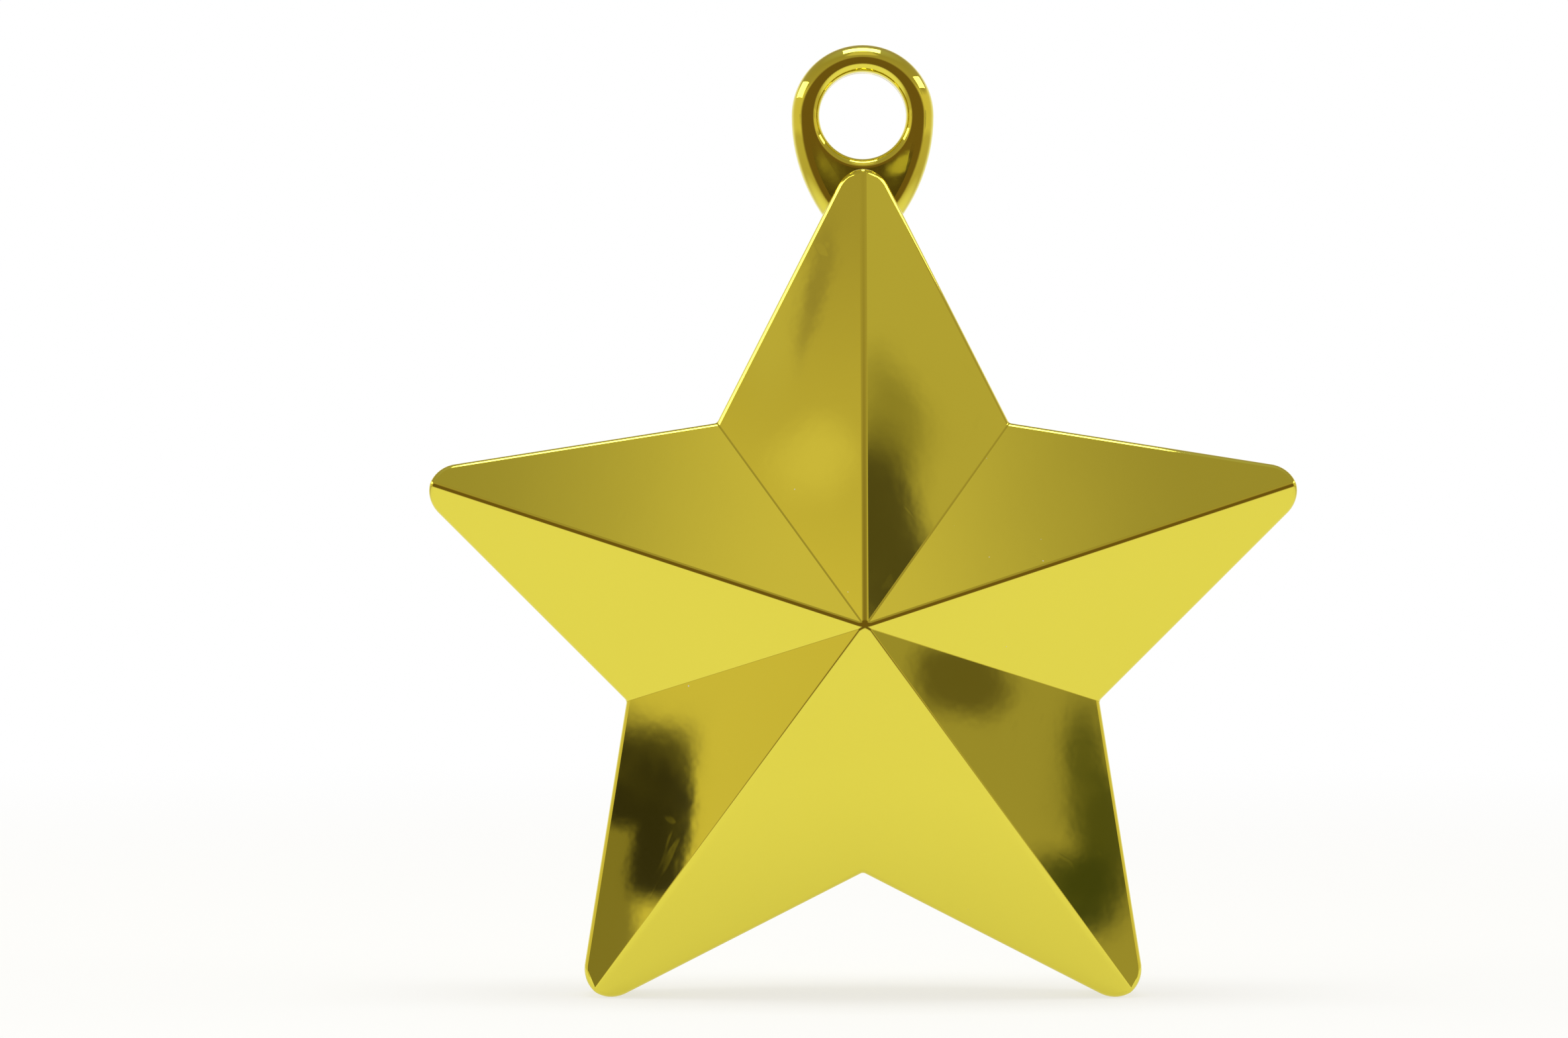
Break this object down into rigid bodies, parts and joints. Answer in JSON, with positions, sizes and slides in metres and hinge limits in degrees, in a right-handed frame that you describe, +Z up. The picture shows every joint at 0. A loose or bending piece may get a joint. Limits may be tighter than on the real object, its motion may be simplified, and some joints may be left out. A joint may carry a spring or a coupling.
{
  "type": "balloon weight",
  "caption": "Faceted star balloon weight with a hanging eye: gold-metallised plastic half shells joined round a cast ballast core, with a push-in filler plug in the flat rear pad.",
  "frame": {"origin": "on the surface that the weight stands on, under the middle of its width and depth", "axes": "+Z up through the star's centre and the hanging eye, front facets towards -Y, +X to the right as seen from the front"},
  "size_m": [0.0994, 0.0324, 0.1095],
  "materials": {
    "gold_metallised": "gloss",
    "ballast_cement": "matte",
    "plug_plastic": "satin"
  },
  "bodies": {
    "weight": {"front_shell": "gold_metallised", "rear_shell": "gold_metallised", "ballast_core": "ballast_cement"},
    "plug": {"filler_plug": "plug_plastic"}
  },
  "joints": [
    {"name": "filler_plug_pull", "type": "slide", "parent": "weight", "child": "plug", "axis": [0, 1, 0], "range_m": [0, 0.01]}
  ]
}
